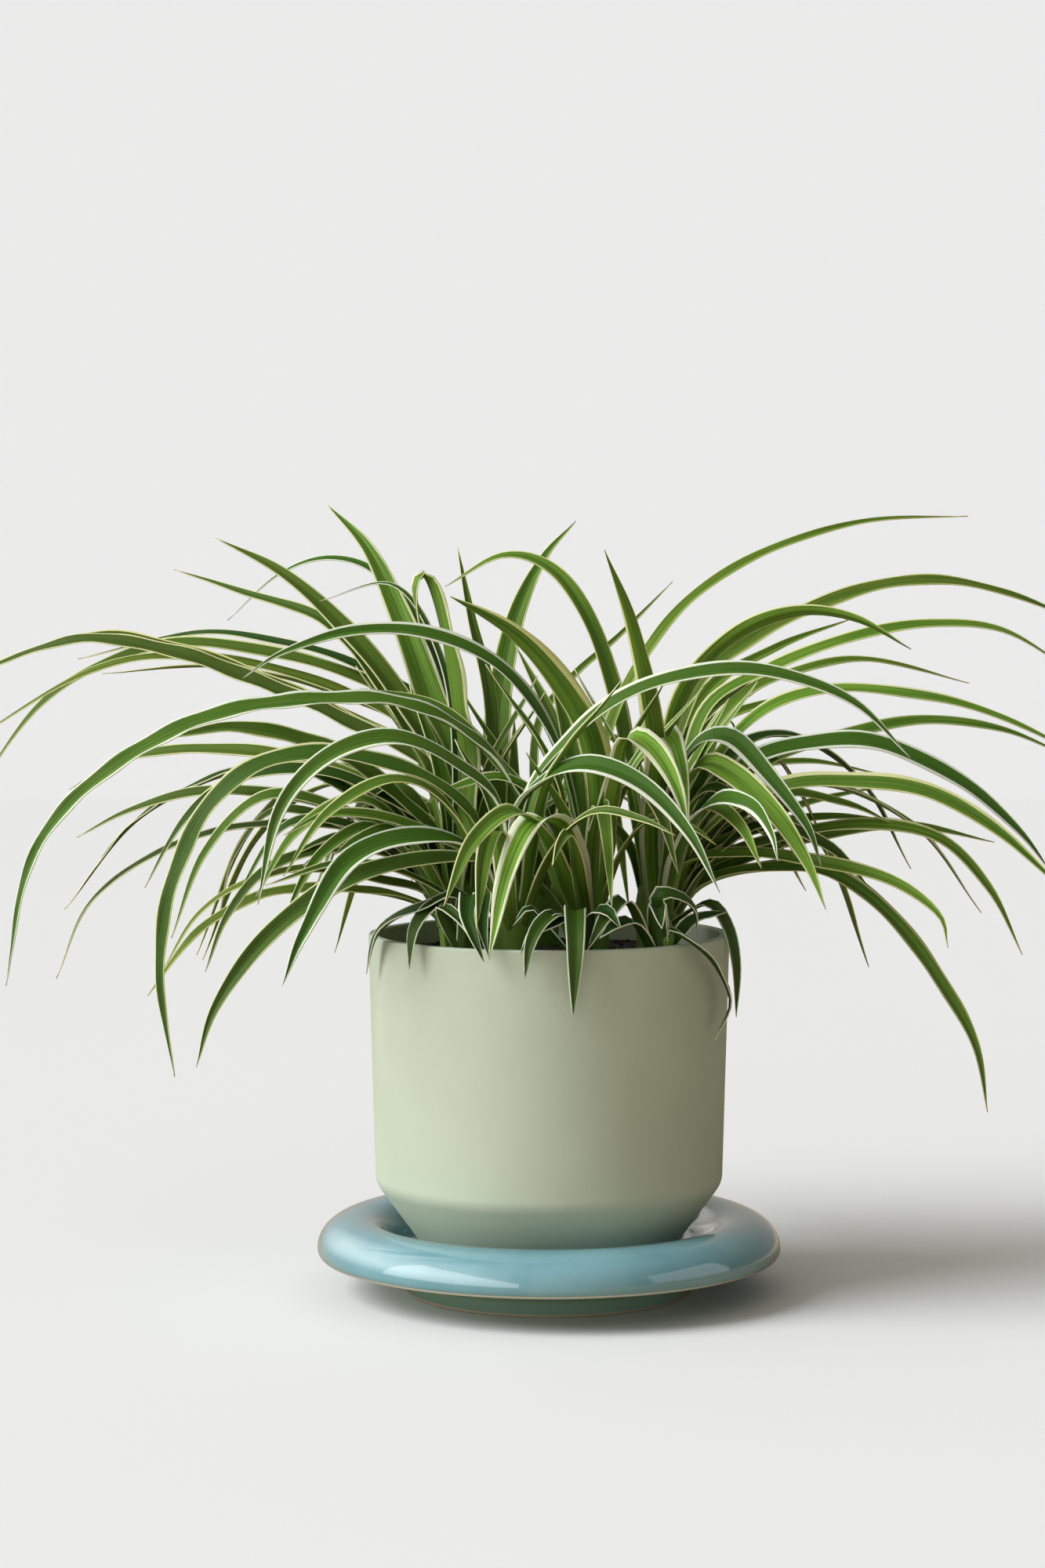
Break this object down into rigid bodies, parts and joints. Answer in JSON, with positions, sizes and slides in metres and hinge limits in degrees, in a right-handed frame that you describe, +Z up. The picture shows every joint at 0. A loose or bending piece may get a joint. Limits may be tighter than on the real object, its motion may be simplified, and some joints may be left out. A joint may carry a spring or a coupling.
{
  "type": "potted spider plant",
  "caption": "Arching striped spider plant in a matte flared pot, which stands on a glazed saucer with a fat rolled rim.",
  "frame": {"origin": "centre of the flat disc that the saucer stands on, on the pot's axis", "axes": "+Z up along the pot's axis, -Y to the front, +X to the right of someone who looks at the front"},
  "size_m": [0.5004, 0.3437, 0.3298],
  "materials": {
    "saucer": "gloss",
    "pot": "matte",
    "soil": "matte",
    "leaf": "satin",
    "young_leaf": "satin"
  },
  "bodies": {
    "root": {"saucer": "saucer", "pot": "pot", "soil": "soil", "plantlet_left": "young_leaf", "plantlet_front": "young_leaf", "plantlet_right": "young_leaf", "crown_middle": "leaf", "crown_front": "leaf", "crown_left": "leaf", "crown_right": "leaf", "crown_back": "leaf"}
  },
  "joints": []
}
